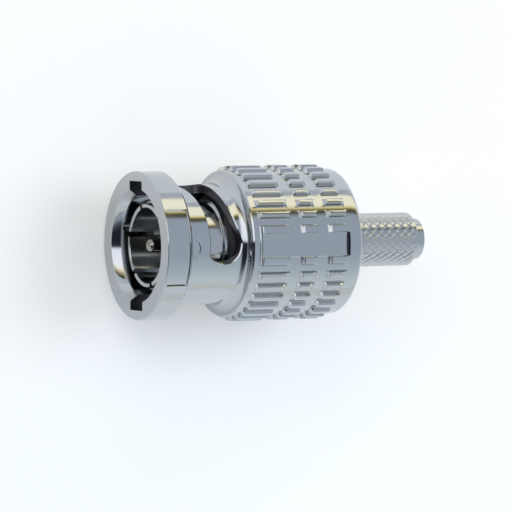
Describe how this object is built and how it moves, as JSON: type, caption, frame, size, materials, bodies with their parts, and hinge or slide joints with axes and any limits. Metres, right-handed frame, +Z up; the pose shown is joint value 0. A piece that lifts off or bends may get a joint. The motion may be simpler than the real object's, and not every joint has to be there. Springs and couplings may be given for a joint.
{
  "type": "bnc connector",
  "caption": "Coaxial cable plug with a bayonet coupling nut, a slotted contact sleeve round a centre pin, and a knurled crimp spigot.",
  "frame": {"origin": "bottom centre of the bounding box, on the surface that the plug lies on", "axes": "+X along the plug's axis towards the cable end, +Z up through the grip's upper pad; the mating face looks to -X"},
  "size_m": [0.0304, 0.015, 0.0148],
  "materials": {
    "nut_nickel": "bright nickel plate on turned and milled brass",
    "body_nickel": "bright nickel plate on turned brass, diamond knurled spigot",
    "contact_nickel": "bright nickel plate on sawn spring bronze",
    "pin_plate": "silver plate on turned brass",
    "insulator": "white turned fluoropolymer",
    "gasket_rubber": "black moulded silicone rubber",
    "spring_steel": "stamped spring steel"
  },
  "bodies": {
    "plug_body": {"connector_body": "body_nickel", "outer_contact": "contact_nickel", "front_insulator": "insulator", "rear_insulator": "insulator", "center_pin": "pin_plate", "front_gasket": "gasket_rubber", "wave_washer": "spring_steel", "retaining_ring": "spring_steel"},
    "slider": {"thrust_washer": "spring_steel"},
    "nut": {"coupling_nut": "nut_nickel"}
  },
  "joints": [
    {"name": "nut_slide", "type": "slide", "parent": "plug_body", "child": "slider", "axis": [-1, 0, 0], "range_m": [0, 0.0007], "stiffness_N_per_m": 4000, "springref_m": -0.001, "deforming": ["wave_washer"]},
    {"name": "nut_turn", "type": "hinge", "parent": "slider", "child": "nut", "pos_m": [0, 0, 0.00741], "axis": [1, 0, 0], "continuous": true}
  ]
}
